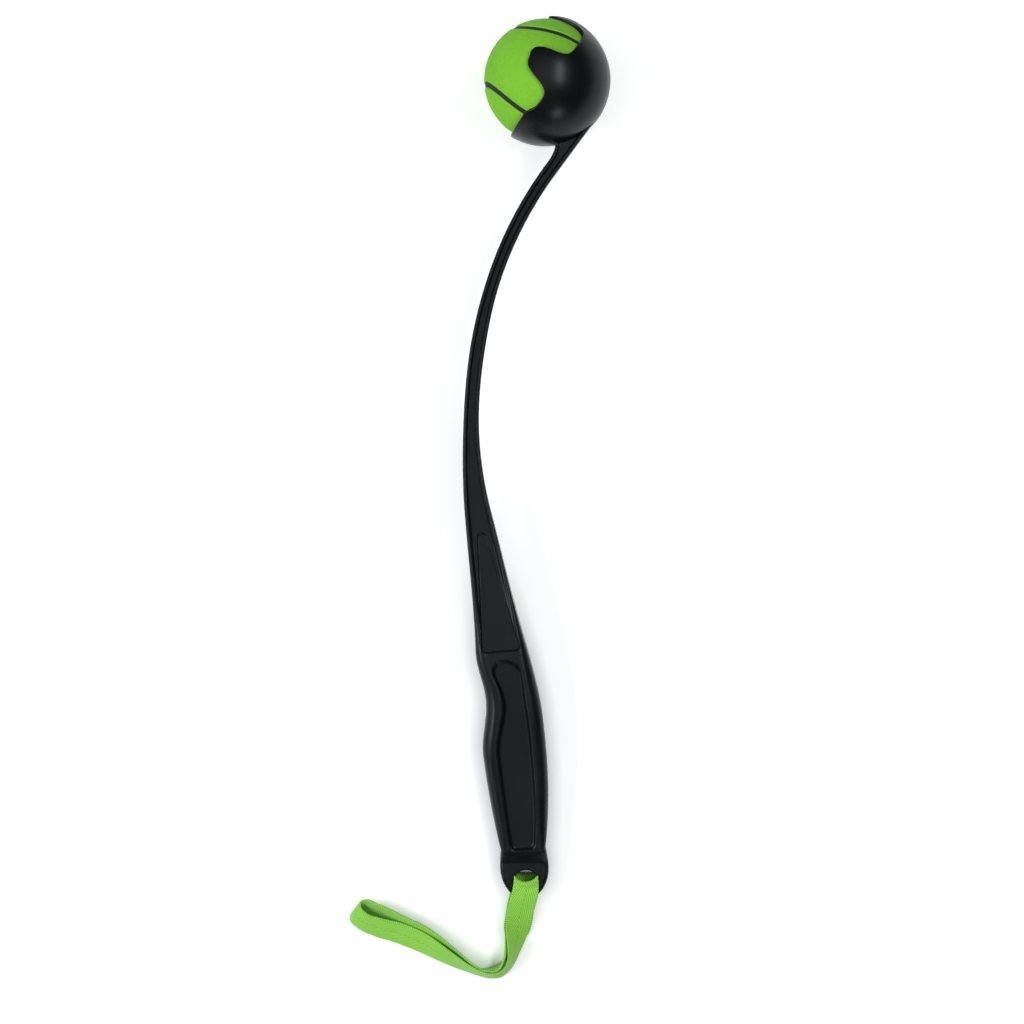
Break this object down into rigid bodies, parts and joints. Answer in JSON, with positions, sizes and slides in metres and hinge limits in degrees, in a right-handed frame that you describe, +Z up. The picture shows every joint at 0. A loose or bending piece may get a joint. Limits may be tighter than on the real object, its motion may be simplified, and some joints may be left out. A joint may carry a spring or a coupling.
{
  "type": "ball launcher stick",
  "caption": "Hand-held ball launcher stick: a bowed arm joins a waved handle with a tape wrist strap to an open claw cup that holds a felt ball.",
  "frame": {"origin": "on the floor below the middle of the stick's outline, as it lies on its side", "axes": "+Y along the stick from the handle to the cup, +Z up from the floor, +X to the side that the arm bows away from"},
  "size_m": [0.1412, 0.5197, 0.0697],
  "materials": {
    "stick_plastic": "fine satin moulded texture",
    "strap_tape": "herringbone twill tape",
    "strap_thread": "sewing thread",
    "ball_rubber": "moulded rubber",
    "ball_felt": "napped felt",
    "ball_cement": "matte cured cement"
  },
  "bodies": {
    "launcher": {"launcher_stick": "stick_plastic", "wrist_strap": "strap_tape", "strap_stitching": "strap_thread"},
    "ball": {"ball_core_half_a": "ball_rubber", "ball_core_half_b": "ball_rubber", "felt_panel_a": "ball_felt", "felt_panel_b": "ball_felt", "ball_seam": "ball_cement"}
  },
  "joints": [
    {"name": "ball_release", "type": "slide", "parent": "launcher", "child": "ball", "axis": [-0.9681, 0.2499, 0.0157], "range_m": [0, 0.08], "deforming": ["felt_panel_a", "felt_panel_b", "ball_seam"]}
  ]
}
